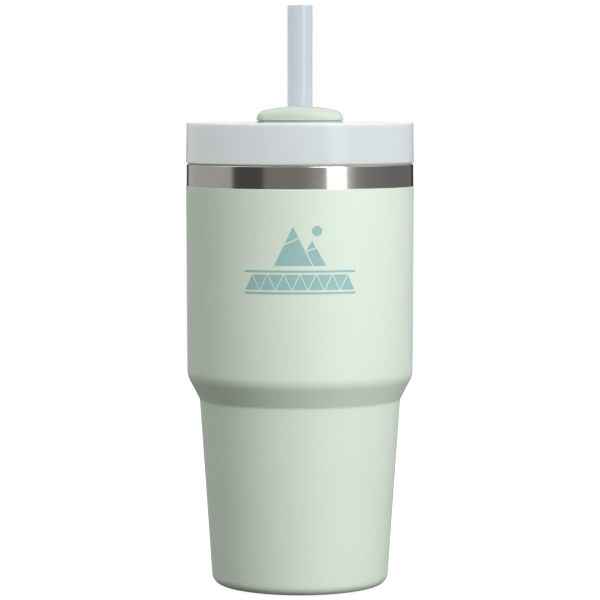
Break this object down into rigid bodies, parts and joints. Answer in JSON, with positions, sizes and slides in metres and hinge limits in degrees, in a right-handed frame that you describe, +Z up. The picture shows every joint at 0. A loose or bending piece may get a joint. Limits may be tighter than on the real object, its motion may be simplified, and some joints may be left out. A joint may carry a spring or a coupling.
{
  "type": "insulated tumbler",
  "caption": "Double-walled insulated tumbler with a tapered foot, screw-on clear lid, rotating domed cover and upright straw.",
  "frame": {"origin": "on the cup's axis, in the plane the foot ring stands on", "axes": "+Z up the cup's axis; the printed mark and the drink opening face -Y; +X is on the right seen from the mark's side"},
  "size_m": [0.088, 0.088, 0.2243],
  "materials": {
    "powder_coat": "matt fine-textured powder coat, pale mint green",
    "brushed_steel": "brushed round the cup",
    "liner_steel": "satin, electropolished",
    "pressed_steel": "satin pressed sheet",
    "pin_steel": "turned",
    "copper": "bright copper foil",
    "seal_glass": "dark solder glass",
    "getter": "pressed metal powder",
    "silicone_beige": "matt silicone, warm grey",
    "silicone_clear": "matt translucent silicone",
    "clear_plastic": "translucent pale grey moulding",
    "mint_plastic": "smooth satin mint green",
    "straw_plastic": "translucent pale blue-grey",
    "print_ink": "thin teal print, satin"
  },
  "bodies": {
    "cup": {"outer_shell": "brushed_steel", "powder_coat": "powder_coat", "liner_tube": "liner_steel", "liner_bottom": "liner_steel", "copper_foil": "copper", "vacuum_base": "pressed_steel", "seal_bead": "seal_glass", "getter_cup": "pressed_steel", "getter_pellet": "getter", "base_plate": "pressed_steel"},
    "gasket": {"lid_gasket": "silicone_beige"},
    "lid": {"lid_ring": "clear_plastic", "lid_plug": "clear_plastic"},
    "cover": {"rotating_cover": "mint_plastic", "cover_tray": "mint_plastic", "straw_grommet": "silicone_clear", "pivot_pin": "pin_steel", "pivot_seal": "silicone_beige", "pivot_clip": "pin_steel", "sip_pad": "silicone_clear"},
    "straw": {"straw": "straw_plastic"}
  },
  "joints": [
    {"name": "lid_lift", "type": "slide", "parent": "cup", "child": "gasket", "axis": [0, 0, 1], "range_m": [0, 0.0136]},
    {"name": "lid_turn", "type": "hinge", "parent": "gasket", "child": "lid", "pos_m": [0, 0, 0.16], "axis": [0, 0, 1], "range_deg": [0, 540]},
    {"name": "cover_turn", "type": "hinge", "parent": "lid", "child": "cover", "pos_m": [0, 0, 0.175], "axis": [0, 0, 1], "range_deg": [-90, 90]},
    {"name": "straw_lift", "type": "slide", "parent": "cover", "child": "straw", "axis": [0, 0, 1], "range_m": [0, 0.2]}
  ],
  "couplings": [
    {"joint": "lid_lift", "follows": "lid_turn", "m_per_rad": 0.0014324}
  ]
}
